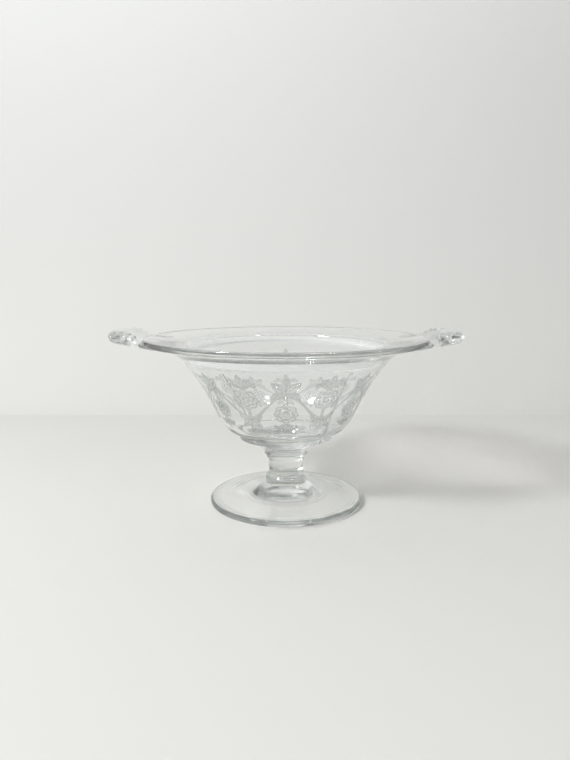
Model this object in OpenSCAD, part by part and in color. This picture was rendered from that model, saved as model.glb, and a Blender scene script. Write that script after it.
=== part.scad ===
// Footed glass compote bowl with a wide flat rim and two open handles
// Lengths are millimetres. The foot stands on z = 0 and the axis of the bowl is the z axis.
// The handles lie along x.

/* [Rim] */
// Diameter over the rim, without the handles
rim_d = 152; // [146:1:170]
// Thickness of the rim at its edge
rim_t = 2.8; // [2.6:0.1:3.6]
// Radius that softens both corners of the edge
rim_round = 1.2; // [0.6:0.1:1.2]
// How far the edge stands above the inner end of the flat rim
rim_rise = 3; // [1:0.5:5]

/* [Bowl] */
// Height of the bowl from its seat to the top of the rim
bowl_h = 53.6; // [50:0.1:65]
// Diameter of the mouth, where the flat rim begins
mouth_d = 107; // [103:1:109]
// Radius that softens the corner at the mouth
mouth_round = 1.2; // [0.8:0.1:1.6]
// Depth from the top of the rim to the outer throat
throat_depth = 13.3; // [12:0.1:15]
// How much wider the throat is outside, under the rim, than the mouth
throat_extra_d = 1.6; // [0:0.2:5]
// Height of the turn between the seat and the side wall
turn_h = 6.4; // [5.8:0.1:8]
// Outer diameter where the side wall starts
turn_d = 68.4; // [66:0.2:74]
// Diameter of the flat seat under the bowl, and of the collar that it sits on
seat_d = 50.8; // [48:0.2:54]
// Thickness of the side wall
wall_t = 2.7; // [2:0.1:3.4]
// Thickness of the floor
floor_t = 3; // [2.6:0.1:4]

/* [Collar] */
// Height of the collar between the bowl and the stem
collar_h = 10.3; // [9:0.1:12]
// Height of the collar's upright side, next to the bowl
collar_side_h = 1.6; // [1:0.1:2.4]
// Diameter of the collar's neck, where it meets the stem
neck_d = 21; // [18:0.2:22]

/* [Stem] */
// Height of the stem
stem_h = 17.3; // [15:0.1:26]
// Diameter of the shoulder at the top of the stem
stem_top_d = 24; // [23.4:0.2:28]
// Radius that softens the edge of the shoulder
stem_top_round = 0.5; // [0.3:0.1:0.7]
// Diameter at the waist
waist_d = 18.8; // [14:0.2:21]
// Diameter of the ring at the foot of the stem, at its upper edge
stem_ring_d = 22.8; // [21.8:0.2:26]
// Diameter of the ring where it meets the foot
stem_base_d = 22.4; // [21.8:0.2:28]
// Height of the ring
stem_ring_h = 2.85; // [2:0.05:4]

/* [Foot] */
// Diameter of the foot
foot_d = 84; // [76:1:100]
// Thickness of the foot at its edge
foot_t = 3.3; // [2.8:0.1:5]
// Radius that softens both corners of the foot's edge
foot_round = 1.4; // [0.6:0.1:1.4]
// Height of the foot at the stem
foot_h = 10.5; // [8:0.1:14]
// Width of the flat ring that the foot stands on
bearing_w = 5; // [3:0.5:8]
// Depth of the hollow under the foot
hollow_h = 3.6; // [2:0.1:3.8]

/* [Handles] */
// How far each handle stands out from the rim
handle_reach = 19.3; // [17:0.1:26]
// Spacing between the middles of the two legs of a handle
leg_spacing = 32; // [28:1:44]
// Width of a leg
leg_w = 7; // [5:0.5:8]
// Width of a leg where it runs into the rim
leg_root_w = 12; // [9:0.5:14]
// Width of the grip across the outer end
grip_w = 10.6; // [8:0.1:12]
// How far a leg reaches in under the rim
leg_root = 12; // [9:0.5:14]
// How far the top of the grip stands above the rim
grip_rise = 3.8; // [2:0.1:6]
// Thickness of the grip
grip_t = 7; // [5:0.1:8]
// Thickness of a leg inside the rim
leg_root_t = 5.2; // [4.8:0.1:6]
// Height of the soft ripples along the top of each leg
ripple_h = 0.35; // [0:0.05:0.5]

/* [Hidden] */

// Glass, clear with a faint grey cast
glass = [0.86, 0.88, 0.87, 0.55];
// Straight facets along each curve of an outline
curve_steps = 9;
// Straight facets along each rounded corner
corner_steps = 4;
// Facets round the axis
round_steps = 144;
// Sections along a handle, and corners of each section
loop_steps = 44;
section_steps = 14;

// The throat goes out and in with the mouth
throat_d = mouth_d + throat_extra_d;

// Radii
rim_r = rim_d / 2;
mouth_r = mouth_d / 2;
throat_r = throat_d / 2;
turn_r = turn_d / 2;
seat_r = seat_d / 2;
neck_r = neck_d / 2;
stem_top_r = stem_top_d / 2;
waist_r = waist_d / 2;
stem_ring_r = stem_ring_d / 2;
stem_base_r = stem_base_d / 2;
foot_r = foot_d / 2;

// Levels above the table
stem_z = foot_h;
collar_z = stem_z + stem_h;
seat_z = collar_z + collar_h;
rim_z = seat_z + bowl_h;
mouth_z = rim_z - rim_rise;
throat_z = rim_z - throat_depth;
turn_z = seat_z + turn_h;
floor_z = seat_z + floor_t;

// Where the curves of the outlines bend, as shares of the box between their two ends
turn_bend_shares = [0.50, 0.60];
wall_start_shares = [0.25, 0.19];
wall_end_shares = [0.33, 0.51];
flare_bend_shares = [0.20, 0.66];
lip_bend_shares = [0.62, 0.62];
collar_bend_shares = [[0, 0.04], [0.45, 0.77]];
stem_flare_shares = [[0.01, 0.60], [0.22, 0.56]];
stem_swell_shares = [[0.21, 0.12], [0.95, 0.40]];
foot_bend_shares = [[0.82, 0.22], [0.82, 0.53]];
hollow_bend_shares = [[0.30, 0.29], [0.55, 1.00]];
// How far a curve carries on past a joint in the direction that it arrives in
carry_share = 0.135;
turn_back_share = 0.8;
// Share of the side wall that keeps one thickness, below the thicker neck
even_wall_share = 0.45;
// Radius of the flat floor as a share of the seat
floor_flat_share = 0.65;
// Share of the way from the stem's ring to its shoulder where the waist lies
waist_share = 0.39;

// Point between a and b, where each coordinate has its own share of the way
function between(a, b, shares) = [a.x + (b.x - a.x) * shares.x, a.y + (b.y - a.y) * shares.y];

// Point past b, in line with a and b
function past(a, b, share) = b + (b - a) * share;

// Smooth curve from a to d that leaves towards b and arrives from c
function curve(a, b, c, d, steps = curve_steps) = [
    for (i = [0 : steps])
        let (t = i / steps, u = 1 - t)
        u * u * u * a + 3 * u * u * t * b + 3 * u * t * t * c + t * t * t * d
];

// The same, with the two bends given as shares of the box between a and d
function bent(a, d, shares, steps = curve_steps) =
    curve(a, between(a, d, shares[0]), between(a, d, shares[1]), d, steps);

// Arc about a centre between two angles
function arc(centre, r, from, to, steps = corner_steps) = [
    for (i = [0 : steps])
        let (a = from + (to - from) * i / steps)
        centre + r * [cos(a), sin(a)]
];

// List without its first point, for joining two curves that share it
function tail(points) = [for (i = [1 : len(points) - 1]) points[i]];

// Points of a path moved sideways, to the left of the way that it runs
function beside(points, distance) = [
    for (i = [0 : len(points) - 1])
        let (
            before = points[max(i - 1, 0)],
            after = points[min(i + 1, len(points) - 1)],
            way = (after - before) / norm(after - before)
        )
        points[i] + distance * [-way.y, way.x]
];

// Smooth step from 0 to 1 while x goes from a to b
function ease(x, a, b) =
    let (t = min(max((x - a) / (b - a), 0), 1))
    t * t * (3 - 2 * t);

// Outer side of the bowl, from the edge of its seat to the lower corner of the rim
seat_edge = [seat_r, seat_z];
turn_end = [turn_r, turn_z];
throat = [throat_r, throat_z];
rim_under = [rim_r - rim_round, rim_z - rim_t];
wall_bend_low = between(turn_end, throat, wall_start_shares);
wall_bend_high = between(turn_end, throat, wall_end_shares);
side_path = concat(
    curve(
        seat_edge,
        between(seat_edge, turn_end, turn_bend_shares),
        past(wall_bend_low, turn_end, turn_back_share),
        turn_end
    ),
    tail(curve(turn_end, wall_bend_low, wall_bend_high, throat))
);
under_path = curve(
    throat,
    past(wall_bend_high, throat, carry_share),
    between(throat, rim_under, flare_bend_shares),
    rim_under
);
// Slope of the flat rim
rim_slope = atan2(rim_rise, rim_r - mouth_r);
edge_path = concat(
    arc([rim_r - rim_round, rim_z - rim_t + rim_round], rim_round, -90, 0),
    arc([rim_r - rim_round, rim_z - rim_round], rim_round, 0, 90 + rim_slope)
);
outer_path = concat(side_path, tail(under_path), tail(edge_path));

// Inner side of the bowl, from its floor up to the corner at the mouth
even_path = beside(side_path, wall_t);
first_even = curve_steps;
last_even = first_even + floor(even_wall_share * curve_steps);
wall_foot = even_path[first_even];
wall_head = even_path[last_even];
floor_edge = [seat_r * floor_flat_share, floor_z];
mouth_centre = [mouth_r + mouth_round, mouth_z - mouth_round];
lip_angle = 158;
lip_end = mouth_centre + mouth_round * [cos(lip_angle), sin(lip_angle)];
inner_path = concat(
    curve(
        floor_edge,
        floor_edge + [(wall_foot - floor_edge).x / 2, 0],
        past(even_path[first_even + 1], wall_foot, 2 * turn_back_share),
        wall_foot
    ),
    [for (i = [first_even + 1 : last_even]) even_path[i]],
    tail(curve(
        wall_head,
        past(even_path[last_even - 1], wall_head, turn_back_share),
        between(wall_head, lip_end, lip_bend_shares),
        lip_end
    )),
    tail(arc(mouth_centre, mouth_round, lip_angle, 90 + rim_slope))
);

// Reverse of a list
function reversed(points) = [for (i = [len(points) - 1 : -1 : 0]) points[i]];

// Solid of revolution of an outline in radius and height
module turned(outline) {
    rotate_extrude($fn = round_steps)
        polygon(outline);
}

// Solid with the outer shape of the bowl, with no inside
module bowl_blank() {
    turned(concat([[0, seat_z]], outer_path, [[0, rim_z]]));
}

module bowl() {
    color(glass)
        turned(concat([[0, seat_z]], outer_path, reversed(inner_path), [[0, floor_z]]));
}

// Collar that joins the bowl to the stem
module collar() {
    color(glass)
        turned(concat(
            [[0, collar_z]],
            bent([neck_r, collar_z], [seat_r, seat_z - collar_side_h], collar_bend_shares),
            [[seat_r, seat_z], [0, seat_z]]
        ));
}

// Stem with a waist between a ring and a shoulder
module stem() {
    ring_edge = [stem_ring_r, stem_z + stem_ring_h];
    shoulder = [stem_top_r, collar_z - stem_top_round];
    waist = [waist_r, ring_edge.y + (shoulder.y - ring_edge.y) * waist_share];
    color(glass)
        turned(concat(
            [[0, stem_z], [stem_base_r, stem_z]],
            bent(ring_edge, waist, stem_swell_shares),
            tail(bent(waist, shoulder, stem_flare_shares)),
            tail(arc(shoulder - [stem_top_round, 0], stem_top_round, 0, 90)),
            [[0, collar_z]]
        ));
}

// Round foot, hollow below so that it stands on a flat ring
module foot() {
    hollow_r = foot_r - foot_round - bearing_w;
    color(glass)
        turned(concat(
            [[0, hollow_h]],
            reversed(bent([hollow_r, 0], [0, hollow_h], hollow_bend_shares)),
            arc([foot_r - foot_round, foot_round], foot_round, -90, 0),
            arc([foot_r - foot_round, foot_t - foot_round], foot_round, 0, 90),
            tail(bent([foot_r - foot_round, foot_t], [stem_base_r, stem_z], foot_bend_shares)),
            [[0, stem_z]]
        ));
}

// Middle of a handle's loop in plan, at an angle from -90 to 90 round its outer end
handle_tip = rim_r + handle_reach;
grip_x = handle_tip - grip_w / 2;
// Where the legs stop running straight and start to bend round
bend_x = rim_r;
root_x = rim_r - leg_root;
function loop_middle(a) = [bend_x + (grip_x - bend_x) * cos(a), leg_spacing / 2 * sin(a)];

// Middles of the sections of one root, close together at its round end
root_steps = 6;
function root_middle(i, side) =
    [root_x + (bend_x - root_x) * (1 - cos(90 * i / root_steps)), side * leg_spacing / 2];

// Middles of all sections, from one leg's root round the grip to the other leg's root
loop_path = concat(
    [for (i = [0 : root_steps - 1]) root_middle(i, -1)],
    [for (i = [0 : loop_steps]) loop_middle(-90 + 180 * i / loop_steps)],
    [for (i = [root_steps - 1 : -1 : 0]) root_middle(i, 1)]
);

// Share of its full size that a section keeps, smaller over the round end of the root
tip_share = 0.3;
function fullness(x) =
    let (t = min((x - root_x) / (leg_root_w / 2), 1))
    max(sqrt(1 - pow(1 - t, 2)), tip_share);

// Top and bottom of a handle at a distance x from the axis of the bowl
grip_top_z = rim_z + grip_rise;
root_top_z = mouth_z + rim_rise * (root_x - mouth_r) / (rim_r - mouth_r);
crest_share = 0.62;
crest_x = bend_x + (grip_x - bend_x) * crest_share;
function handle_top(x) =
    root_top_z + (grip_top_z - root_top_z) * ease(x, (root_x + bend_x) / 2, crest_x);
function handle_bottom(x) =
    let (share = min(max((x - root_x) / (grip_x - root_x), 0), 1))
    root_top_z - leg_root_t + (grip_top_z - grip_t - root_top_z + leg_root_t) * sin(90 * share);

// Width of the loop at a distance x from the axis, wide at the root and at the grip
function loop_width(x) =
    leg_w + (leg_root_w - leg_w) * (1 - ease(x, root_x, bend_x + leg_w / 2))
    + (grip_w - leg_w) * ease(x, bend_x + leg_w / 2, grip_x);

// Soft ripples along the top of the legs, three to a leg, that fade out at the grip
ripples = 3;
function ripple(x) =
    let (share = min(max((x - bend_x) / (grip_x - bend_x), 0), 1))
    ripple_h * sin(360 * ripples * share) * (1 - share);

// One section: a rounded upright oblong across the loop
squareness = 0.55;
function rounded(v) = sign(v) * pow(abs(v), squareness);
function section(middle, way) =
    let (
        top = handle_top(middle.x) + ripple(middle.x),
        bottom = handle_bottom(middle.x),
        half_w = fullness(middle.x) * loop_width(middle.x) / 2,
        half_t = fullness(middle.x) * (top - bottom) / 2
    )
    [for (k = [0 : section_steps - 1])
        let (
            a = 360 * k / section_steps,
            across = half_w * rounded(cos(a))
        )
        [middle.x + across * way.y, middle.y - across * way.x,
            (top + bottom) / 2 + half_t * rounded(sin(a))]
    ];

// Closed tube through all sections, with flat ends inside the rim
module handle_loop() {
    count = len(loop_path);
    points = [
        for (i = [0 : count - 1])
            let (step = loop_path[min(i + 1, count - 1)] - loop_path[max(i - 1, 0)])
            each section(loop_path[i], step / norm(step))
    ];
    sides = [
        for (i = [0 : count - 2], k = [0 : section_steps - 1])
            let (
                next = (k + 1) % section_steps,
                a = i * section_steps + k,
                b = i * section_steps + next,
                c = a + section_steps,
                d = b + section_steps
            )
            each [[a, b, d], [a, d, c]]
    ];
    first_end = [for (k = [section_steps - 1 : -1 : 0]) k];
    last_end = [for (k = [0 : section_steps - 1]) (count - 1) * section_steps + k];
    polyhedron(points, concat(sides, [first_end, last_end]));
}

// Handle fused to the rim, which it meets on the bowl's outer surface
module right_handle() {
    color(glass)
        difference() {
            handle_loop();
            bowl_blank();
        }
}

module left_handle() {
    mirror([1, 0, 0])
        right_handle();
}

bowl();
collar();
stem();
foot();
left_handle();
right_handle();
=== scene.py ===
"""Looks of a footed glass compote bowl: fine meshes, glass finishes, soft light and camera."""
import logging
import math
from dataclasses import dataclass, field
from enum import Enum
from functools import reduce

import bmesh
import bpy
import numpy as np
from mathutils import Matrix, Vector


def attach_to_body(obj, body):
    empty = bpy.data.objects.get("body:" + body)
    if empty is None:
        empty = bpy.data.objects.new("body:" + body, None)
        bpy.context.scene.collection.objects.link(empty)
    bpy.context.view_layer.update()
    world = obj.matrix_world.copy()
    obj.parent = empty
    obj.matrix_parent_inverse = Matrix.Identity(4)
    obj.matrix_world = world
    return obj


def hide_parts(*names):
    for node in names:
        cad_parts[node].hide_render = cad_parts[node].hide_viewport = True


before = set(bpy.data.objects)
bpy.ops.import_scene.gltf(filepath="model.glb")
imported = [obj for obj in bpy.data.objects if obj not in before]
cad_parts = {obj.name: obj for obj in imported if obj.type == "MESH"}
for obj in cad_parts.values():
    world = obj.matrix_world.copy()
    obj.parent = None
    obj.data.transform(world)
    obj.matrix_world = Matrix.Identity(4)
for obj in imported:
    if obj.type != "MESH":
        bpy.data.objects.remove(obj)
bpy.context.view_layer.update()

log = logging.getLogger("compote")

MM = 0.001

# How far the faces of a joint are drawn into their piece, in metres
JOINT_DEPTH = 0.02 * MM
# Outline points nearer than this are one, in millimetres
SAME_POINT = 1e-6
# Mesh corners nearer than this are one, in metres, and so are corners on both sides of a cut
SAME_CORNER = 1e-7
SAME_CUT = 2e-7
# Angles in degrees over which an edge stays sharp, on turned pieces and on the handles
TURNED_SHARP = 30.0
LOOP_SHARP = 80.0
# Steps along a finely worked curve, along a rounded corner, and round the z axis
CURVE_STEPS = 200
CORNER_STEPS = 12
ROUND_STEPS = 288
# Spacing of a mesh's rings on a joint's face, and on the seat's, in millimetres
JOINT_STEP = 2.0
SEAT_STEP = 2.5

Spot3 = tuple[float, float, float]
Shares = tuple[float, float]
Bends = tuple[Shares, Shares]
Faces = list[tuple[int, ...]]
Path = np.ndarray
Piece = bpy.types.Object
Socket = bpy.types.NodeSocket


class Skin(Enum):
    """What a stretch of a piece's surface is finished as. The value is its material slot."""

    POLISHED = 0
    ETCHED = 1
    WELD = 2
    CUT_AWAY = 3


# Outlines in radius and height, in millimetres


def point(radius: float, height: float) -> Path:
    """One point of an outline."""
    return np.array([radius, height], float)


def between(a: Path, b: Path, shares: Shares) -> Path:
    """Point between a and b, where each coordinate has its own share of the way."""
    return a + (b - a) * np.array(shares)


def past(a: Path, b: Path, share: float) -> Path:
    """Point past b, in line with a and b."""
    return b + (b - a) * share


def spaced(points: Path, step: float) -> Path:
    """The same path with its points a steady distance apart.

    Args:
        points: a path of closely set points.
        step: the spacing wanted, in millimetres.

    Returns:
        The path's ends, and evenly set points between them.
    """
    lengths = np.hypot(*np.diff(points, axis=0).T)
    along = np.concatenate([[0.0], np.cumsum(lengths)])
    count = max(1, round(along[-1] / step))
    wanted = np.linspace(0.0, along[-1], count + 1)
    return np.stack([np.interp(wanted, along, points[:, k]) for k in (0, 1)], -1)


def straight(a: Path, b: Path, step: float) -> Path:
    """Straight path from a to b with its points a steady distance apart."""
    return spaced(np.array([a, b]), step)


def cubic(a: Path, b: Path, c: Path, d: Path, steps: int = CURVE_STEPS) -> Path:
    """Smooth curve from a to d.

    Args:
        a: its first point.
        b: the point that it leaves towards.
        c: the point that it arrives from.
        d: its last point.
        steps: how many steps it has.

    Returns:
        The curve's points.
    """
    t = np.linspace(0.0, 1.0, steps + 1)[:, None]
    u = 1.0 - t
    return u**3 * a + 3 * u * u * t * b + 3 * u * t * t * c + t**3 * d


def bent(a: Path, d: Path, bends: Bends) -> Path:
    """Smooth curve from a to d with both bends as shares of the box between them."""
    return cubic(a, between(a, d, bends[0]), between(a, d, bends[1]), d)


def arc(centre: Path, radius: float, start: float, end: float, steps: int = CORNER_STEPS) -> Path:
    """Arc about a centre between two angles in degrees."""
    angles = np.radians(np.linspace(start, end, steps + 1))
    return centre + radius * np.stack([np.cos(angles), np.sin(angles)], -1)


def beside(points: Path, distance: float) -> Path:
    """Path moved sideways.

    Args:
        points: the path.
        distance: how far it moves, to the left of the way that it runs.

    Returns:
        The moved points.
    """
    way = np.gradient(points, axis=0)
    way /= np.hypot(way[:, 0], way[:, 1])[:, None]
    return points + distance * np.stack([-way[:, 1], way[:, 0]], -1)


def joined(*paths: Path) -> Path:
    """Paths end to end, with each shared end kept once."""
    return np.vstack([paths[0]] + [path[1:] for path in paths[1:]])


def share_of_way(x: float, a: float, b: float) -> float:
    """How far x has come from a to b, held from 0 to 1."""
    return min(max((x - a) / (b - a), 0.0), 1.0)


def ease(x: float, a: float, b: float) -> float:
    """Smooth step from 0 to 1 while x goes from a to b."""
    t = share_of_way(x, a, b)
    return t * t * (3.0 - 2.0 * t)


@dataclass
class Outline:
    """Closed outline of a turned piece, as stretches with a finish each."""

    points: list[Path] = field(default_factory=list)
    skins: list[Skin] = field(default_factory=list)

    def add(self, path: Path, skin: Skin = Skin.POLISHED) -> None:
        """Carries the outline on along a path.

        Args:
            path: points in radius and height. The first may repeat the last one held.
            skin: the finish of the surface along it.
        """
        for spot in path:
            if self.points and np.allclose(self.points[-1], spot, atol=SAME_POINT):
                continue
            if self.points:
                self.skins.append(skin)
            self.points.append(np.array(spot, float))


def turned(name: str, outline: Outline) -> Piece:
    """Turns an outline into a closed mesh round the z axis.

    Args:
        name: name of the new object.
        outline: its outline, from one point on the axis to another.

    Returns:
        The object, with a material slot index for each stretch.
    """
    turns = np.linspace(0.0, 2.0 * math.pi, ROUND_STEPS, endpoint=False)
    rings: list[list[int]] = []
    spots: list[Spot3] = []
    for radius, height in outline.points:
        start, r, z = len(spots), radius * MM, height * MM
        spots += [(r * math.cos(a), r * math.sin(a), z) for a in turns[: 1 if r == 0.0 else None]]
        count = len(spots) - start
        rings.append([start + k % count for k in range(ROUND_STEPS)])
    faces: Faces = []
    marks: list[int] = []
    for low, high, skin in zip(rings, rings[1:], outline.skins):
        for k in range(ROUND_STEPS):
            n = (k + 1) % ROUND_STEPS
            faces.append(tuple(dict.fromkeys([low[k], low[n], high[n], high[k]])))
            marks.append(skin.value)
    return new_piece(name, spots, faces, marks, TURNED_SHARP)


def new_piece(
    name: str, spots: list[Spot3], faces: Faces, marks: list[int], sharp: float
) -> Piece:
    """Makes an object from points and faces.

    Args:
        name: name of the new object.
        spots: the points, in metres.
        faces: the corners of each face.
        marks: each face's material slot.
        sharp: angle in degrees over which an edge stays sharp.

    Returns:
        The object, linked to the scene.
    """
    mesh = bpy.data.meshes.new(name)
    mesh.from_pydata(spots, [], faces)
    mesh.polygons.foreach_set("material_index", marks)
    mesh.validate()
    piece = bpy.data.objects.new(name, mesh)
    bpy.context.scene.collection.objects.link(piece)
    tidy_mesh(piece, sharp)
    return piece


def tidy_mesh(piece: Piece, sharp: float) -> None:
    """Turns all faces outward, smooths them, and sharpens corners and the edges of joints.

    Args:
        piece: a closed mesh.
        sharp: angle in degrees over which an edge stays sharp.
    """
    work = bmesh.new()
    work.from_mesh(piece.data)
    bmesh.ops.remove_doubles(work, verts=work.verts, dist=SAME_CORNER)
    bmesh.ops.recalc_face_normals(work, faces=work.faces)
    for face in work.faces:
        face.smooth = True
    limit = math.radians(sharp)
    for edge in work.edges:
        sides = {face.material_index == Skin.WELD.value for face in edge.link_faces}
        edge.smooth = len(sides) == 1 and edge.calc_face_angle(0.0) < limit
    work.to_mesh(piece.data)
    work.free()
    piece.data.update()


# Pieces


@dataclass(frozen=True)
class Levels:
    """Heights above the table of the joints between pieces and of the rim, in millimetres."""

    stem: float = 10.5
    collar: float = 27.8
    seat: float = 38.1
    rim: float = 91.7


LEVELS = Levels()


@dataclass
class Bowl:
    """The flared bowl and its wide flat rim.

    Bends are shares of the box between the two ends of a curve. A step is the spacing of the
    mesh's rings along a stretch of the outline.
    """

    rim_radius: float = 76.0
    rim_thickness: float = 2.8
    rim_round: float = 0.7
    rim_rise: float = 3.0
    mouth_radius: float = 53.5
    mouth_round: float = 1.2
    throat_radius: float = 54.3
    throat_depth: float = 13.3
    turn_radius: float = 34.2
    turn_height: float = 6.4
    seat_radius: float = 25.4
    wall: float = 2.7
    floor: float = 3.0
    flat_floor_share: float = 0.65
    # Where the mouth's corner leaves the inner wall, in degrees from straight out
    lip_angle: float = 168.0
    turn_bend: Shares = (0.50, 0.60)
    side_bends: Bends = ((0.25, 0.19), (0.33, 0.51))
    flare_bend: Shares = (0.20, 0.66)
    lip_bend: Shares = (0.62, 0.62)
    # How far past the throat and the turn a bend lies, as shares of the length before them
    carry: float = 0.135
    turn_back: float = 0.8
    # Shares of the side wall, one of even thickness and one over which its way is measured
    even_share: float = 0.445
    way_share: float = 0.11
    mouth_steps: int = 16
    side_step: float = 0.8
    under_step: float = 0.7
    flat_step: float = 1.5
    floor_step: float = 2.0

    def outer_sides(self) -> tuple[Path, Path]:
        """Makes the outer wall and the underside of the rim.

        Returns:
            The wall from the seat to the throat, with the end of its turn after CURVE_STEPS
            steps, and the underside from there to the rim's edge.
        """
        seat = point(self.seat_radius, LEVELS.seat)
        end = point(self.turn_radius, LEVELS.seat + self.turn_height)
        throat = point(self.throat_radius, LEVELS.rim - self.throat_depth)
        edge = point(self.rim_radius - self.rim_round, LEVELS.rim - self.rim_thickness)
        low, high = (between(end, throat, bend) for bend in self.side_bends)
        turn = cubic(seat, between(seat, end, self.turn_bend), past(low, end, self.turn_back), end)
        leaving = past(high, throat, self.carry)
        under = cubic(throat, leaving, between(throat, edge, self.flare_bend), edge)
        return joined(turn, cubic(end, low, high, throat)), under

    def edges(self) -> tuple[Path, Path]:
        """Makes the rounded corners of the rim's edge and of the mouth.

        Returns:
            The rim's edge from its underside to the flat rim, and the mouth's corner from the
            inner wall to the flat rim.
        """
        flat = 90.0 + math.degrees(math.atan2(self.rim_rise, self.rim_radius - self.mouth_radius))
        r = self.rim_round
        low = point(self.rim_radius - r, LEVELS.rim - self.rim_thickness + r)
        high = point(self.rim_radius - r, LEVELS.rim - r)
        edge = np.vstack([arc(low, r, -90.0, 0.0), arc(high, r, 0.0, flat)])
        r = self.mouth_round
        centre = point(self.mouth_radius + r, LEVELS.rim - self.rim_rise - r)
        return edge, arc(centre, r, self.lip_angle, flat, self.mouth_steps)

    def inner_side(self, wall: Path, lip: Path) -> Path:
        """Makes the inner wall, which keeps one thickness up to where the neck grows thicker.

        Args:
            wall: the outer wall.
            lip: the point where the rounded corner at the mouth begins.

        Returns:
            Its points, from the edge of the flat floor up to the rounded corner at the mouth.
        """
        even = beside(wall, self.wall)
        foot = CURVE_STEPS
        head = foot + round(self.even_share * CURVE_STEPS)
        run = round(self.way_share * CURVE_STEPS)
        leaving = even[foot + run] - even[foot]
        rising = even[head] - even[head - run]
        start = point(self.seat_radius * self.flat_floor_share, LEVELS.seat + self.floor)
        flat = point((even[foot] - start)[0] / 2, 0)
        back = even[foot] - 2 * self.turn_back * leaving
        turn = cubic(start, start + flat, back, even[foot])
        on = even[head] + self.turn_back * rising
        top = cubic(even[head], on, between(even[head], lip, self.lip_bend), lip)
        return joined(turn, even[foot : head + 1], top)

    def build(self) -> Piece:
        """Makes the bowl's mesh, from the axis under the seat round to the axis above the floor.

        Returns:
            The bowl.
        """
        wall, under = self.outer_sides()
        edge, mouth = self.edges()
        inner = self.inner_side(wall, mouth[0])[::-1]
        seat = point(self.seat_radius, LEVELS.seat)
        outline = Outline()
        outline.add(straight(point(0, LEVELS.seat), seat, SEAT_STEP), Skin.WELD)
        outline.add(spaced(wall, self.side_step), Skin.ETCHED)
        outline.add(spaced(under, self.under_step))
        outline.add(edge)
        outline.add(straight(edge[-1], mouth[-1], self.flat_step))
        outline.add(mouth[::-1])
        outline.add(spaced(inner, self.side_step))
        outline.add(straight(inner[-1], point(0, LEVELS.seat + self.floor), self.floor_step))
        return turned("bowl_glass", outline)


@dataclass
class Collar:
    """The disc between the bowl and the stem, rounded below down to a narrow neck."""

    radius: float = 25.4
    side: float = 1.6
    neck_radius: float = 10.5
    bends: Bends = ((0.0, 0.04), (0.45, 0.77))
    under_step: float = 0.5
    side_step: float = 0.4

    def build(self) -> Piece:
        """Makes the collar's mesh.

        Returns:
            The collar.
        """
        neck = point(self.neck_radius, LEVELS.collar)
        edge = point(self.radius, LEVELS.seat - self.side)
        seat = point(self.radius, LEVELS.seat)
        outline = Outline()
        outline.add(straight(point(0, LEVELS.collar), neck, JOINT_STEP), Skin.WELD)
        outline.add(spaced(bent(neck, edge, self.bends), self.under_step))
        outline.add(straight(edge, seat, self.side_step))
        outline.add(straight(seat, point(0, LEVELS.seat), SEAT_STEP), Skin.WELD)
        return turned("collar_glass", outline)


@dataclass
class Stem:
    """The short waisted stem, with a ring at its lower end and a flat shoulder at its top."""

    top_radius: float = 12.0
    top_round: float = 0.5
    neck_radius: float = 10.5
    waist_radius: float = 9.4
    ring_radius: float = 11.4
    base_radius: float = 11.2
    ring_height: float = 2.85
    waist_share: float = 0.39
    swell_bends: Bends = ((0.21, 0.12), (0.95, 0.40))
    flare_bends: Bends = ((0.01, 0.60), (0.22, 0.56))
    ring_step: float = 0.5
    swell_step: float = 0.3
    flare_step: float = 0.5

    def build(self) -> Piece:
        """Makes the stem's mesh.

        Returns:
            The stem.
        """
        base = point(self.base_radius, LEVELS.stem)
        ring = point(self.ring_radius, LEVELS.stem + self.ring_height)
        top = point(self.top_radius, LEVELS.collar - self.top_round)
        waist = point(self.waist_radius, ring[1] + (top[1] - ring[1]) * self.waist_share)
        centre = top - point(self.top_round, 0)
        neck = point(self.neck_radius, LEVELS.collar)
        outline = Outline()
        outline.add(straight(point(0, LEVELS.stem), base, JOINT_STEP), Skin.WELD)
        outline.add(straight(base, ring, self.ring_step))
        outline.add(spaced(bent(ring, waist, self.swell_bends), self.swell_step))
        outline.add(spaced(bent(waist, top, self.flare_bends), self.flare_step))
        outline.add(arc(centre, self.top_round, 0.0, 90.0))
        outline.add(np.array([centre + point(0, self.top_round), neck]))
        outline.add(straight(neck, point(0, LEVELS.collar), JOINT_STEP), Skin.WELD)
        return turned("stem_glass", outline)


@dataclass
class Foot:
    """The round foot, hollow below so that it stands on a flat ring."""

    radius: float = 42.0
    thickness: float = 3.3
    rounding: float = 1.4
    bearing: float = 5.0
    hollow: float = 3.6
    stem_radius: float = 11.2
    hollow_bends: Bends = ((0.30, 0.29), (0.55, 1.00))
    top_bends: Bends = ((0.82, 0.22), (0.82, 0.53))
    hollow_step: float = 0.8
    bearing_step: float = 1.0
    top_step: float = 0.5

    def build(self) -> Piece:
        """Makes the foot's mesh.

        Returns:
            The foot.
        """
        r = self.rounding
        flat_radius = self.radius - r
        hollow_edge = point(flat_radius - self.bearing, 0)
        hollow = bent(hollow_edge, point(0, self.hollow), self.hollow_bends)
        stem = point(self.stem_radius, LEVELS.stem)
        top = bent(point(flat_radius, self.thickness), stem, self.top_bends)
        outline = Outline()
        outline.add(spaced(hollow[::-1], self.hollow_step))
        outline.add(straight(hollow_edge, point(flat_radius, 0), self.bearing_step))
        outline.add(arc(point(flat_radius, r), r, -90.0, 0.0))
        outline.add(arc(point(flat_radius, self.thickness - r), r, 0.0, 90.0))
        outline.add(spaced(top, self.top_step))
        outline.add(straight(stem, point(0, LEVELS.stem), JOINT_STEP), Skin.WELD)
        return turned("foot_glass", outline)


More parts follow.
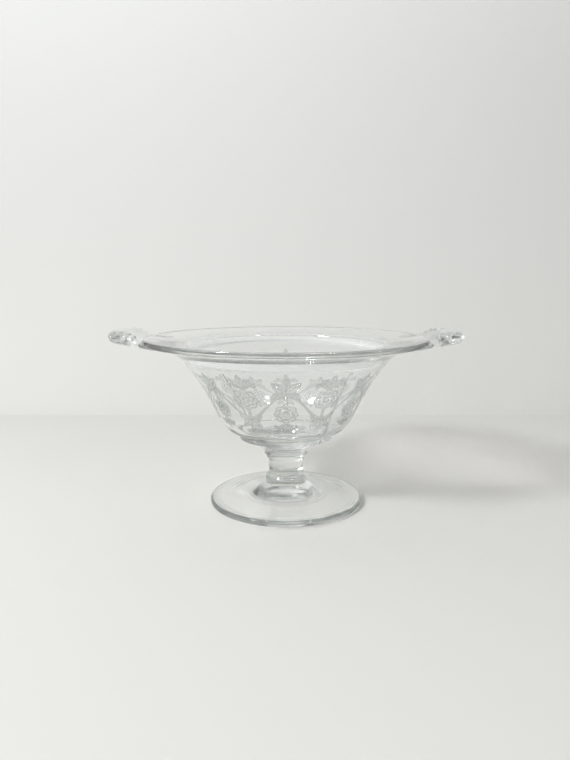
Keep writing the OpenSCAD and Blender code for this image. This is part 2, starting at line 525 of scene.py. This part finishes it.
@dataclass
class Handle:
    """An open loop handle on the right of the bowl, or on its left when mirrored."""

    name: str
    mirrored: bool
    rim_radius: float = 76.0
    reach: float = 19.3
    leg_spacing: float = 32.0
    leg_width: float = 7.0
    root_width: float = 12.0
    grip_width: float = 10.6
    root_depth: float = 12.0
    grip_rise: float = 3.8
    grip_thickness: float = 7.0
    root_thickness: float = 5.2
    root_top: float = 90.1
    crest_share: float = 0.62
    ripple_height: float = 1.1
    ripples: int = 5
    # 1 for a round section, and less for a squarer one
    squareness: float = 0.85
    smallest_share: float = 0.3
    loop_steps: int = 132
    root_steps: int = 18
    section_steps: int = 48

    @property
    def grip_x(self) -> float:
        """Distance of the grip's middle from the axis."""
        return self.rim_radius + self.reach - self.grip_width / 2

    @property
    def root_x(self) -> float:
        """Distance of the leg's inner end from the axis."""
        return self.rim_radius - self.root_depth

    def middles(self) -> Path:
        """Lays out the loop in plan.

        Returns:
            Middles of all sections, from one leg's root round to the other's.
        """
        half = self.leg_spacing / 2
        run = self.rim_radius - self.root_x
        straights = [
            self.root_x + run * (1 - math.cos(math.pi / 2 * i / self.root_steps))
            for i in range(self.root_steps)
        ]
        angles = np.radians(np.linspace(-90, 90, self.loop_steps + 1))
        bend = [
            (self.rim_radius + (self.grip_x - self.rim_radius) * math.cos(a), half * math.sin(a))
            for a in angles
        ]
        first = [(x, -half) for x in straights]
        last = [(x, half) for x in reversed(straights)]
        return np.array(first + bend + last)

    def sizes(self, x: float) -> tuple[float, float, float]:
        """Sizes of the loop, wide at the root and the grip, with ripples on top of the legs.

        Args:
            x: distance from the bowl's axis.

        Returns:
            Width, height of the top and height of the underside, in millimetres.
        """
        waist = self.rim_radius + self.leg_width / 2
        root = (self.root_width - self.leg_width) * (1 - ease(x, self.root_x, waist))
        grip = (self.grip_width - self.leg_width) * ease(x, waist, self.grip_x)
        width = self.leg_width + root + grip
        crest = self.rim_radius + (self.grip_x - self.rim_radius) * self.crest_share
        grip_top = LEVELS.rim + self.grip_rise
        risen = ease(x, (self.root_x + self.rim_radius) / 2, crest)
        along = share_of_way(x, self.rim_radius, self.grip_x)
        dip = (1 - math.cos(2 * math.pi * self.ripples * along)) / 2 * (1 - along)
        high = self.root_top + (grip_top - self.root_top) * risen - self.ripple_height * dip
        root_low, grip_low = self.root_top - self.root_thickness, grip_top - self.grip_thickness
        share = share_of_way(x, self.root_x, self.grip_x)
        return width, high, root_low + (grip_low - root_low) * math.sin(math.pi / 2 * share)

    def fullness(self, x: float) -> float:
        """Share of its full size that a section keeps over the round end of the root."""
        t = min((x - self.root_x) / (self.root_width / 2), 1.0)
        return max(math.sqrt(1 - (1 - t) ** 2), self.smallest_share)

    def rounded(self, values: Path) -> Path:
        """Sines or cosines pushed outward, which makes a circle squarer."""
        return np.sign(values) * np.abs(values) ** self.squareness

    def section(self, middle: Path, way: Path) -> list[Spot3]:
        """Makes one section, a rounded upright oblong across the loop.

        Args:
            middle: its middle in plan, in millimetres.
            way: direction of the loop there, of length 1.

        Returns:
            The section's corners, in metres.
        """
        turns = np.linspace(0, 2 * math.pi, self.section_steps, endpoint=False)
        across, upward = self.rounded(np.cos(turns)), self.rounded(np.sin(turns))
        side = -1 if self.mirrored else 1
        x, y = middle
        width, high, low = self.sizes(x)
        full = self.fullness(x)
        half_width = full * width / 2
        return [
            (
                side * (x + half_width * a * way[1]) * MM,
                (y - half_width * a * way[0]) * MM,
                ((high + low) / 2 + full * (high - low) / 2 * b) * MM,
            )
            for a, b in zip(across, upward)
        ]

    def build(self) -> Piece:
        """Makes the handle's closed loop.

        Returns:
            The handle, with its roots still whole inside the rim.
        """
        middles = self.middles()
        ways = np.gradient(middles, axis=0)
        ways /= np.hypot(ways[:, 0], ways[:, 1])[:, None]
        spots = [spot for middle, way in zip(middles, ways) for spot in self.section(middle, way)]
        count, n = len(middles), self.section_steps
        faces: Faces = [
            (i * n + k, i * n + (k + 1) % n, (i + 1) * n + (k + 1) % n, (i + 1) * n + k)
            for i in range(count - 1)
            for k in range(n)
        ]
        faces.append(tuple(range(n)))
        faces.append(tuple((count - 1) * n + k for k in reversed(range(n))))
        return new_piece(self.name, spots, faces, [Skin.POLISHED.value] * len(faces), LOOP_SHARP)


# Joints between the handles and the rim


def with_slot(piece: Piece, skin: Skin) -> Piece:
    """Copies a piece and puts all its faces in one slot.

    Args:
        piece: the piece to copy.
        skin: the slot.

    Returns:
        The copy.
    """
    twin = piece.copy()
    twin.data = piece.data.copy()
    bpy.context.scene.collection.objects.link(twin)
    twin.data.polygons.foreach_set("material_index", [skin.value] * len(twin.data.polygons))
    return twin


def cut(piece: Piece, cutter: Piece) -> None:
    """Takes the cutter away from a piece. New faces keep the cutter's slot.

    Args:
        piece: a closed mesh that is cut.
        cutter: the closed mesh that is taken away.
    """
    step = piece.modifiers.new("cut", "BOOLEAN")
    step.operation = "DIFFERENCE"
    step.solver = "EXACT"
    step.material_mode = "INDEX"
    step.object = cutter
    graph = bpy.context.evaluated_depsgraph_get()
    mesh = bpy.data.meshes.new_from_object(piece.evaluated_get(graph))
    piece.modifiers.clear()
    old = piece.data
    piece.data = mesh
    mesh.name = old.name
    bpy.data.meshes.remove(old)


def fuse(bowl: Piece, handle: Piece) -> None:
    """Cuts a handle to the rim and marks the joint on both, so that they share it exactly.

    Args:
        bowl: the bowl's piece.
        handle: a handle whose roots reach into the rim.
    """
    rim_twin = with_slot(bowl, Skin.WELD)
    handle_twin = with_slot(handle, Skin.CUT_AWAY)
    cut(handle, rim_twin)
    cut(bowl, handle_twin)
    for twin in (rim_twin, handle_twin):
        bpy.data.objects.remove(twin)
    tidy_mesh(handle, LOOP_SHARP)
    joint = bmesh.new()
    joint.from_mesh(handle.data)
    others = [f for f in joint.faces if f.material_index != Skin.WELD.value]
    bmesh.ops.delete(joint, geom=others, context="FACES")
    patch = bpy.data.meshes.new("joint")
    joint.to_mesh(patch)
    joint.free()
    work = bmesh.new()
    work.from_mesh(bowl.data)
    gone = [f for f in work.faces if f.material_index == Skin.CUT_AWAY.value]
    bmesh.ops.delete(work, geom=gone, context="FACES")
    work.from_mesh(patch)
    bmesh.ops.remove_doubles(work, verts=work.verts, dist=SAME_CUT)
    work.to_mesh(bowl.data)
    work.free()
    bpy.data.meshes.remove(patch)
    tidy_mesh(bowl, TURNED_SHARP)


def set_back(piece: Piece) -> None:
    """Draws a piece's joint faces into it, so that two joined pieces share no surface.

    Args:
        piece: a piece with its joints marked.
    """
    work = bmesh.new()
    work.from_mesh(piece.data)
    work.normal_update()
    inside = [
        v for v in work.verts if all(f.material_index == Skin.WELD.value for f in v.link_faces)
    ]
    moves = [v.normal * -JOINT_DEPTH for v in inside]
    for vert, move in zip(inside, moves):
        vert.co += move
    work.to_mesh(piece.data)
    work.free()
    piece.data.update()


# Finishes

# Places of a colour mix's factor, of its two colours, and of its result among a mix node's sockets
MIX_INPUTS = (0, 6, 7)
MIX_OUTPUT = 2


def new_material(name: str, inputs: dict[str, object]) -> bpy.types.Material:
    """Makes a material.

    Args:
        name: its name.
        inputs: values that are the same all over, for its shader's own sockets.

    Returns:
        The material.
    """
    material = bpy.data.materials.new(name)
    material.use_nodes = True
    for socket, value in inputs.items():
        material.node_tree.nodes["Principled BSDF"].inputs[socket].default_value = value
    return material


@dataclass(frozen=True)
class Nodes:
    """Short ways to add nodes to a material."""

    tree: bpy.types.NodeTree

    @property
    def shader(self) -> bpy.types.Node:
        """The material's shader."""
        return self.tree.nodes["Principled BSDF"]

    def add(self, kind: str, **settings: object) -> bpy.types.Node:
        """Adds a node.

        Args:
            kind: the node's type.
            settings: values of its properties.

        Returns:
            The node.
        """
        node = self.tree.nodes.new(kind)
        for name, value in settings.items():
            setattr(node, name, value)
        return node

    def link(self, source: Socket, target: Socket) -> None:
        """Joins two sockets."""
        self.tree.links.new(source, target)

    def put(self, value: object, slot: Socket) -> None:
        """Gives an input a value of its own, or that of another socket.

        Args:
            value: a number, a colour or a socket.
            slot: the input.
        """
        if isinstance(value, Socket):
            self.link(value, slot)
        else:
            slot.default_value = value

    def math(self, operation: str, *values: object, clamp: bool = False) -> Socket:
        """Adds a maths node.

        Args:
            operation: the node's operation.
            values: a number or a socket for each input.
            clamp: whether the result stays from 0 to 1.

        Returns:
            The node's output.
        """
        node = self.add("ShaderNodeMath", operation=operation, use_clamp=clamp)
        for slot, value in zip(node.inputs, values):
            self.put(value, slot)
        return node.outputs[0]

    def axes(self, output: str = "Object") -> list["Value"]:
        """Reads where the shaded place is.

        Args:
            output: the kind of coordinates.

        Returns:
            Its x, y and z.
        """
        split = self.add("ShaderNodeSeparateXYZ")
        self.link(self.add("ShaderNodeTexCoord").outputs[output], split.inputs["Vector"])
        return [Value(self, axis) for axis in split.outputs]

    def share_of(self, skin: Skin) -> Socket:
        """Reads the mark of one skin, which is 1 on its faces and 0 elsewhere."""
        mark = self.add("ShaderNodeAttribute", attribute_name=skin.name.lower())
        return mark.outputs["Fac"]

    def relief(self, height: Socket, depth: float) -> None:
        """Adds relief to the surface, over the relief that it has.

        Args:
            height: how high each place stands, in depths.
            depth: one depth, in metres.
        """
        bump = self.add("ShaderNodeBump")
        bump.inputs["Distance"].default_value = depth
        self.link(height, bump.inputs["Height"])
        normal = self.shader.inputs["Normal"]
        if normal.is_linked:
            self.link(normal.links[0].from_socket, bump.inputs["Normal"])
        self.link(bump.outputs["Normal"], normal)


@dataclass(frozen=True)
class Glass:
    """Clear fire-polished glass, a little grey where light goes a long way through it."""

    name: str = "clear_glass"
    tint: Spot3 = (0.985, 0.992, 0.988)
    index: float = 1.5
    roughness: float = 0.0
    wave_scale: float = 40.0
    wave_detail: float = 1.0
    wave_depth: float = 0.000012
    depth_tint: Spot3 = (0.50, 0.53, 0.515)
    depth_density: float = 12.0

    def build(self) -> bpy.types.Material:
        """Makes the material, with the faint waves that fire polishing leaves.

        The faces of joints are left clear away.

        Returns:
            The material.
        """
        body = {"Base Color": (*self.tint, 1.0), "Roughness": self.roughness}
        light = {"IOR": self.index, "Transmission Weight": 1.0}
        material = new_material(self.name, body | light)
        nodes = Nodes(material.node_tree)
        depth = nodes.add("ShaderNodeVolumeAbsorption")
        depth.inputs["Color"].default_value = (*self.depth_tint, 1.0)
        depth.inputs["Density"].default_value = self.depth_density
        output = material.node_tree.nodes["Material Output"]
        nodes.link(depth.outputs["Volume"], output.inputs["Volume"])
        shown = nodes.math("SUBTRACT", 1.0, nodes.share_of(Skin.WELD))
        nodes.link(shown, nodes.shader.inputs["Alpha"])
        wave = nodes.add("ShaderNodeTexNoise")
        wave.inputs["Scale"].default_value = self.wave_scale
        wave.inputs["Detail"].default_value = self.wave_detail
        place = nodes.add("ShaderNodeTexCoord")
        nodes.link(place.outputs["Object"], wave.inputs["Vector"])
        nodes.relief(wave.outputs["Fac"], self.wave_depth)
        self.dress(nodes)
        return material

    def dress(self, nodes: Nodes) -> None:
        """Adds what only this kind of glass has. Plain glass has nothing."""


@dataclass(frozen=True)
class PressedGlass(Glass):
    """Glass with faint round marks from the press about the bowl's axis."""

    name: str = "pressed_glass"
    mark_scale: float = 330.0
    mark_detail: float = 2.0
    mark_depth: float = 0.00008

    def dress(self, nodes: Nodes) -> None:
        """Adds the round marks.

        Args:
            nodes: the material's nodes.
        """
        x, y, _ = nodes.axes()
        radius = (x * x + y * y).worked("SQRT")
        marks = nodes.add("ShaderNodeTexNoise", noise_dimensions="1D")
        marks.inputs["Scale"].default_value = self.mark_scale
        marks.inputs["Detail"].default_value = self.mark_detail
        nodes.link(radius.socket, marks.inputs["W"])
        nodes.relief(marks.outputs["Fac"], self.mark_depth)


@dataclass(frozen=True)
class Value:
    """A number that varies over a surface. Sums with it become maths nodes."""

    nodes: Nodes
    socket: Socket

    def worked(self, operation: str, *others: object, clamp: bool = False) -> "Value":
        """Value that a maths node gives from this one and others."""
        inputs = [other.socket if isinstance(other, Value) else other for other in others]
        return Value(self.nodes, self.nodes.math(operation, self.socket, *inputs, clamp=clamp))

    def __add__(self, other: object) -> "Value":
        """The sum of two."""
        return self.worked("ADD", other)

    def __sub__(self, other: object) -> "Value":
        """The number less another."""
        return self.worked("SUBTRACT", other)

    def __mul__(self, other: object) -> "Value":
        """The product of two."""
        return self.worked("MULTIPLY", other)

    def __truediv__(self, other: object) -> "Value":
        """The number divided by another."""
        return self.worked("DIVIDE", other)

    def size(self) -> "Value":
        """The number without its sign."""
        return self.worked("ABSOLUTE")

    def wave(self, turns: float) -> "Value":
        """Cosine of a multiple of the number."""
        return (self * turns).worked("COSINE")

    def least(self, other: object) -> "Value":
        """The smaller of two."""
        return self.worked("MINIMUM", other)

    def most(self, other: object) -> "Value":
        """The larger of two."""
        return self.worked("MAXIMUM", other)

    def inside(self, soft: float) -> "Value":
        """1 where the number lies below zero and 0 above, with a soft edge."""
        return (self * (-0.5 / soft)).worked("ADD", 0.5, clamp=True)


@dataclass(frozen=True)
class Spot:
    """A place in the band's flat plan, across and up, in millimetres."""

    across: Value
    up: Value

    def moved(self, across: float, up: float) -> "Spot":
        """The same place as seen from another middle."""
        return Spot(self.across - across, self.up - up)

    def turned(self, degrees: float) -> "Spot":
        """The same place with the upward way turned clockwise."""
        c, s = math.cos(math.radians(degrees)), math.sin(math.radians(degrees))
        return Spot(self.across * c - self.up * s, self.up * c + self.across * s)

    def reach(self) -> Value:
        """Distance from the middle."""
        return (self.across * self.across + self.up * self.up).worked("SQRT")

    def bearing(self) -> Value:
        """Angle from the upward way, in radians."""
        return self.across.worked("ARCTAN2", self.up)

    def folded(self) -> "Spot":
        """The same place with left and right laid over each other."""
        return Spot(self.across.size(), self.up)

    def fanned(self, degrees: float) -> "Spot":
        """Lays three arms of a fan over each other.

        Args:
            degrees: angle between two arms. The middle one points up.

        Returns:
            The place as seen along the nearest arm.
        """
        step = math.radians(degrees)
        reach, bearing = self.reach(), self.bearing()
        arm = (bearing / step).worked("ROUND").least(1.0).most(-1.0)
        turn = bearing - arm * step
        return Spot(reach * turn.worked("SINE"), reach * turn.worked("COSINE"))


@dataclass(frozen=True)
class Leaf:
    """A pointed leaf with a middle vein, or a fan of three such leaves."""

    across: float
    up: float
    length: float
    width: float
    tilt: float = 0.0
    fan: float = 0.0
    vein: float = 0.22

    def distance(self, place: Spot) -> Value:
        """Distance from the leaf, with its vein left out.

        Args:
            place: where the distance is wanted.

        Returns:
            The distance, below zero inside the leaf.
        """
        seen = place.moved(self.across, self.up)
        if self.tilt:
            seen = seen.turned(self.tilt)
        if self.fan:
            seen = seen.fanned(self.fan)
        bow = (self.length**2 / 4 + (self.width / 2) ** 2) / self.width
        side = seen.across.size()
        away = Spot(side + (bow - self.width / 2), seen.up - self.length / 2).reach() - bow
        return away.most((side - self.vein) * -1.0)


@dataclass(frozen=True)
class Petals:
    """A ring of petals. Sizes are shares of the flower's reach."""

    pairs: float
    notch: float
    heart: float

    def distance(self, place: Spot, flower_reach: float) -> Value:
        """Distance from the ring's edge, below zero inside it."""
        edge = place.bearing().wave(self.pairs).size() * self.notch + self.heart
        return place.reach() - edge * flower_reach


@dataclass(frozen=True)
class Vine:
    """Etched vine with flowers and leaves, laid out flat. Distances are below zero inside."""

    repeats: int = 7
    middle_radius: float = 43.0
    swing: float = 7.5
    steepness: float = 0.8
    stalk: float = 0.45
    vein: float = 0.22
    flower_up: float = -4.2
    flower_reach: float = 6.0
    outer_petals: Petals = Petals(4.0, 0.16, 0.84)
    inner_petals: Petals = Petals(3.5, 0.20, 0.50)
    eye_share: float = 0.24
    high_leaves: Leaf = Leaf(0.0, 8.3, 8.2, 3.4, fan=44.0)
    low_leaves: Leaf = Leaf(0.0, -11.0, 6.4, 2.8, tilt=180.0, fan=50.0)
    side_leaf: Leaf = Leaf(6.4, 4.6, 6.6, 2.6, tilt=-38.0)
    berry_place: Shares = (5.6, -12.6)
    berry_radius: float = 0.85

    @property
    def half_cell(self) -> float:
        """Length of half a repeat, in millimetres."""
        return math.pi * self.middle_radius / self.repeats

    def cell(self, place: Spot) -> Spot:
        """Folds the whole band into one half repeat, with every other one upside down.

        Args:
            place: where it is in the band.

        Returns:
            Where it is in the half repeat.
        """
        count = (place.across / self.half_cell).worked("FLOOR")
        across = place.across - (count + 0.5) * self.half_cell
        odd = count.worked("PINGPONG", 1.0)
        return Spot(across, place.up * (odd * -2.0 + 1.0))

    def flower(self, place: Spot) -> Value:
        """Distance from a flower with two rings of petals and a round eye.

        Args:
            place: as seen from the flower's middle.

        Returns:
            The distance, with the lines inside the flower left out.
        """
        outer = self.outer_petals.distance(place, self.flower_reach)
        inner = self.inner_petals.distance(place, self.flower_reach)
        eye = place.reach() - self.flower_reach * self.eye_share
        lines = inner.size().least(eye.size()) - self.vein
        return outer.most(lines * -1.0)

    def distance(self, whole: Spot) -> Value:
        """Distance from the nearest motif.

        Args:
            whole: where it is in the band.

        Returns:
            The distance, below zero inside a motif.
        """
        place = self.cell(whole)
        both = place.folded()
        wave = place.across.wave(math.pi / self.half_cell) * self.swing
        vine = (place.up - wave).size() * self.steepness
        stem = (both.across - self.stalk).most(place.up - self.swing).most(place.up * -1.0)
        motifs = [
            vine - self.stalk,
            stem,
            self.high_leaves.distance(place),
            self.low_leaves.distance(place),
            self.side_leaf.distance(both),
            both.moved(*self.berry_place).reach() - self.berry_radius,
            self.flower(place.moved(0.0, self.flower_up)),
        ]
        return reduce(Value.least, motifs)


@dataclass(frozen=True)
class EtchedGlass(Glass):
    """Glass with a vine etched into its outer side and two fine moulding seams. The vine's
    outlines and the seams are darkened with painted shade.
    """

    name: str = "etched_glass"
    depth_density: float = 9.0
    vine: Vine = Vine()
    middle_height: float = 61.0
    slope: float = 1.161
    bend: float = -0.0072
    frost: float = 0.34
    frost_tint: Spot3 = (0.92, 0.93, 0.925)
    # Painted shade that darkens the etched outlines and the seams
    painted_line_shade: Spot3 = (0.58, 0.59, 0.585)
    line_width: float = 0.42
    line_soft: float = 0.18
    frost_soft: float = 0.12
    etch_depth: float = 0.00007
    seam_bearings: Shares = (-55.0, 139.0)
    seam_width: float = 0.7
    seam_height: float = 0.0003
    # Share of the painted shade that the seams take
    seam_painted_shade: float = 0.9

    def dress(self, nodes: Nodes) -> None:
        """Adds the etched band and the seams.

        Args:
            nodes: the material's nodes.
        """
        x, y, z = (axis * (1.0 / MM) for axis in nodes.axes())
        rise = z - self.middle_height
        up = rise * (rise * self.bend + self.slope)
        across = y.worked("ARCTAN2", x) * self.vine.middle_radius
        away = self.vine.distance(Spot(across, up))
        outside = Value(nodes, nodes.share_of(Skin.ETCHED))
        inside = away.inside(self.frost_soft) * outside
        edge = (away.size() - self.line_width).inside(self.line_soft) * outside
        seam = self.seam(x, y) * outside
        # Painted shade: the etched outlines and the seams are darkened in the glass's colour
        self.tinted(nodes, inside, edge.most(seam * self.seam_painted_shade))
        nodes.link((inside * self.frost).socket, nodes.shader.inputs["Roughness"])
        height = inside * -1.0 + seam * (self.seam_height / self.etch_depth)
        nodes.relief(height.socket, self.etch_depth)

    def seam(self, x: Value, y: Value) -> Value:
        """How near a place is to one of the moulding seams, 1 on it and 0 away from it.

        Args:
            x: distance to the right of the bowl's axis, in millimetres.
            y: distance behind the bowl's axis, in millimetres.

        Returns:
            The nearness, with a soft edge.
        """
        seams = []
        for bearing in self.seam_bearings:
            c, s = math.cos(math.radians(bearing)), math.sin(math.radians(bearing))
            aside = (x * s - y * c).size() - self.seam_width
            behind = (x * c + y * s) * -1.0
            seams.append(aside.most(behind).inside(self.seam_width))
        return seams[0].most(seams[1])

    def tinted(self, nodes: Nodes, inside: Value, edge: Value) -> None:
        """Sets the colour from clear through frosted to the dark lines, whose darkness is painted
        shade.

        Args:
            nodes: the material's nodes.
            inside: how much of the frosted tint shows.
            edge: how much of the painted shade of the lines and seams shows.
        """
        colour: object = (*self.tint, 1.0)
        for share, tint in ((inside, self.frost_tint), (edge, self.painted_line_shade)):
            mix = nodes.add("ShaderNodeMix", data_type="RGBA")
            factor, first, second = (mix.inputs[k] for k in MIX_INPUTS)
            nodes.put(share.socket, factor)
            nodes.put(colour, first)
            nodes.put((*tint, 1.0), second)
            colour = mix.outputs[MIX_OUTPUT]
        nodes.link(colour, nodes.shader.inputs["Base Color"])


@dataclass(frozen=True)
class PaleBoard:
    """Matt board with painted light: it glows softly of itself, more so towards its top and its
    left.
    """

    paper: Spot3 = (0.80, 0.80, 0.77)
    roughness: float = 0.8
    gloss: float = 0.1
    # Painted light: how strongly the board glows, its colour, how it grows upward and how it fades
    # to the right
    painted_glow: float = 0.415
    painted_glow_tint: Spot3 = (0.98, 1.0, 0.99)
    painted_glow_rise: float = 0.5
    painted_glow_fall: float = -0.42

    def build(self) -> bpy.types.Material:
        """Makes the material.

        Returns:
            The material.
        """
        paper = {"Base Color": (*self.paper, 1.0), "Roughness": self.roughness}
        light = {"Specular IOR Level": self.gloss, "Emission Color": (*self.painted_glow_tint, 1.0)}
        material = new_material("pale_board", paper | light)
        nodes = Nodes(material.node_tree)
        across, _, height = nodes.axes()
        # Painted light: the glow grows towards the board's top and towards its left
        upward = height.most(0.0).worked("POWER", self.painted_glow_rise)
        sideways = (across * self.painted_glow_fall + 1.0).most(0.0)
        painted_glow = upward * sideways * self.painted_glow
        nodes.link(painted_glow.socket, nodes.shader.inputs["Emission Strength"])
        return material


# Scene


@dataclass(frozen=True)
class Lamp:
    """A soft oblong light that faces the bowl, in metres and watts.

    Its way is the direction from the bowl to the lamp. A glint is seen only mirrored in glass.
    """

    name: str
    way: Spot3
    distance: float
    size: tuple[float, float]
    power: float
    glint: bool = False
    aim_height: float = 0.05

    def hang(self) -> None:
        """Adds the light to the scene."""
        data = bpy.data.lights.new(self.name, "AREA")
        data.shape = "RECTANGLE"
        data.size, data.size_y = self.size
        data.energy = self.power
        light = bpy.data.objects.new(self.name, data)
        place = Vector(self.way).normalized() * self.distance
        light.location = place + Vector((0, 0, self.aim_height))
        light.rotation_euler = place.to_track_quat("Z", "Y").to_euler()
        light.visible_diffuse = not self.glint
        light.visible_transmission = not self.glint
        bpy.context.scene.collection.objects.link(light)


LAMPS = (
    Lamp("key", (-0.66, -0.50, 0.56), 1.05, (0.18, 0.15), 6.2),
    Lamp("fill", (0.51, -0.60, 0.61), 1.3, (0.11, 0.08), 0.45),
    Lamp("left_glint", (-0.635, -0.475, 0.61), 1.05, (0.20, 0.06), 5.6, glint=True),
    Lamp("right_glint", (0.475, -0.555, 0.665), 1.05, (0.10, 0.05), 1.5, glint=True),
)


@dataclass
class Board:
    """Pale board that lies under the bowl and bends up behind it, in metres."""

    bend: float = 0.216
    first_slope: float = 20.0
    rise: float = 0.75
    depth: float = 0.85
    more_rise: float = 1.0
    half_width: float = 2.2
    front: float = -2.4
    drop: float = 0.0002
    leaving: float = 0.35
    arriving: float = 0.45
    corner: float = 0.006
    curve_steps: int = 48
    corner_steps: int = 8

    def side(self) -> list[tuple[float, float]]:
        """Makes the side view of the board.

        Returns:
            Its points, as distance back and height.
        """
        slope = math.radians(self.first_slope)
        flat = point(self.bend, 0.0)
        top = point(self.bend + self.depth, self.rise)
        way = point(math.cos(slope), math.sin(slope))
        above = top - point(0.0, self.arriving)
        curve = cubic(flat, flat + self.leaving * way, above, top, self.curve_steps)
        before, after = flat - point(self.corner, 0), flat + self.corner * way
        corner = cubic(before, flat, flat, after, self.corner_steps)
        path = [point(self.front, 0.0), *corner, *curve[2:], top + point(0.0, self.more_rise)]
        return [(spot[0], spot[1] - self.drop) for spot in path]

    def build(self) -> None:
        """Makes the board."""
        side = self.side()
        spots = [(x, y, z) for y, z in side for x in (-self.half_width, self.half_width)]
        faces = [(2 * k, 2 * k + 1, 2 * k + 3, 2 * k + 2) for k in range(len(side) - 1)]
        mesh = bpy.data.meshes.new("board")
        mesh.from_pydata(spots, [], faces)
        for face in mesh.polygons:
            face.use_smooth = True
        mesh.materials.append(PaleBoard().build())
        board = bpy.data.objects.new("board", mesh)
        bpy.context.scene.collection.objects.link(board)


@dataclass
class Room:
    """Light of the room: pale all round, darker on the camera's side and on the right.

    Its gains are to the right, to the back and to the top.
    """

    middle: float = 0.445
    gains: Spot3 = (-0.43, 0.30, 0.20)
    least: float = 0.06

    def build(self) -> None:
        """Makes the world."""
        world = bpy.data.worlds.new("room")
        bpy.context.scene.world = world
        world.use_nodes = True
        ground = world.node_tree.nodes["Background"]
        nodes = Nodes(world.node_tree)
        light: object = self.middle
        for axis, gain in zip(nodes.axes("Generated"), self.gains):
            light = axis.worked("MULTIPLY_ADD", gain, light)
        nodes.link(light.most(self.least).socket, ground.inputs["Color"])
        ground.inputs["Strength"].default_value = 1.0


@dataclass
class Camera:
    """The camera at the photograph's viewing angle, in metres and degrees.

    The focal length and the picture's height are in pixels, and the sensor is in millimetres.
    """

    place: Spot3 = (-0.0005, -0.327, 0.121)
    tilt: float = 9.24
    focal_length: float = 605.0
    picture_height: float = 760.0
    sensor: float = 36.0

    def build(self) -> None:
        """Sets up the camera."""
        data = bpy.data.cameras.new("camera")
        data.sensor_width = self.sensor
        data.lens = self.focal_length / self.picture_height * self.sensor
        camera = bpy.data.objects.new("camera", data)
        camera.location = self.place
        camera.rotation_euler = (math.radians(90.0 - self.tilt), 0.0, 0.0)
        bpy.context.scene.collection.objects.link(camera)
        bpy.context.scene.camera = camera


# How deep light is followed in glass, between mirrors, on matt faces and through clear ones, and
# what keeps thin dark lines in glass sharp
CYCLES = {
    "max_bounces": 32,
    "transmission_bounces": 32,
    "glossy_bounces": 24,
    "diffuse_bounces": 4,
    "transparent_max_bounces": 64,
    "caustics_refractive": True,
    "caustics_reflective": True,
    "blur_glossy": 0.0,
    "sample_clamp_indirect": 0.0,
    "use_denoising": True,
}


def set_view() -> None:
    """Sets how light turns into the picture's colours, and how deep it is followed."""
    bpy.context.scene.view_settings.view_transform = "Standard"
    for name, value in CYCLES.items():
        setattr(bpy.context.scene.cycles, name, value)


def mark_skins(piece: Piece) -> None:
    """Turns a piece's slots into marks that its one material reads.

    Args:
        piece: a piece with a slot index for each face.
    """
    mesh = piece.data
    slots = np.zeros(len(mesh.polygons), int)
    mesh.polygons.foreach_get("material_index", slots)
    for skin in (Skin.ETCHED, Skin.WELD):
        mark = mesh.attributes.new(skin.name.lower(), "FLOAT", "FACE")
        mark.data.foreach_set("value", (slots == skin.value).astype(float))
    mesh.polygons.foreach_set("material_index", np.zeros_like(slots))


def attach(piece: Piece, node: str, material: bpy.types.Material) -> None:
    """Dresses a piece and puts it in the place of its CAD node.

    Args:
        piece: the piece.
        node: the CAD node that it stands for.
        material: its finish.
    """
    set_back(piece)
    mark_skins(piece)
    piece.data.materials.append(material)
    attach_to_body(piece, "root")
    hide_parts(node)
    log.info("%s: %d faces, for node %s", piece.name, len(piece.data.polygons), node)


def main() -> None:
    """Builds the pieces in order, dresses them and sets the scene."""
    logging.basicConfig(level=logging.INFO, format="%(name)s: %(message)s")
    bowl = Bowl().build()
    left = Handle("left_handle_glass", mirrored=True).build()
    right = Handle("right_handle_glass", mirrored=False).build()
    fuse(bowl, left)
    fuse(bowl, right)
    clear = Glass().build()
    attach(bowl, "bowl", EtchedGlass().build())
    attach(left, "left_handle", clear)
    attach(right, "right_handle", clear)
    attach(Collar().build(), "collar", clear)
    attach(Stem().build(), "stem", clear)
    attach(Foot().build(), "foot", PressedGlass().build())
    Board().build()
    for lamp in LAMPS:
        lamp.hang()
    Room().build()
    Camera().build()
    set_view()


if __name__ == "__main__":
    main()
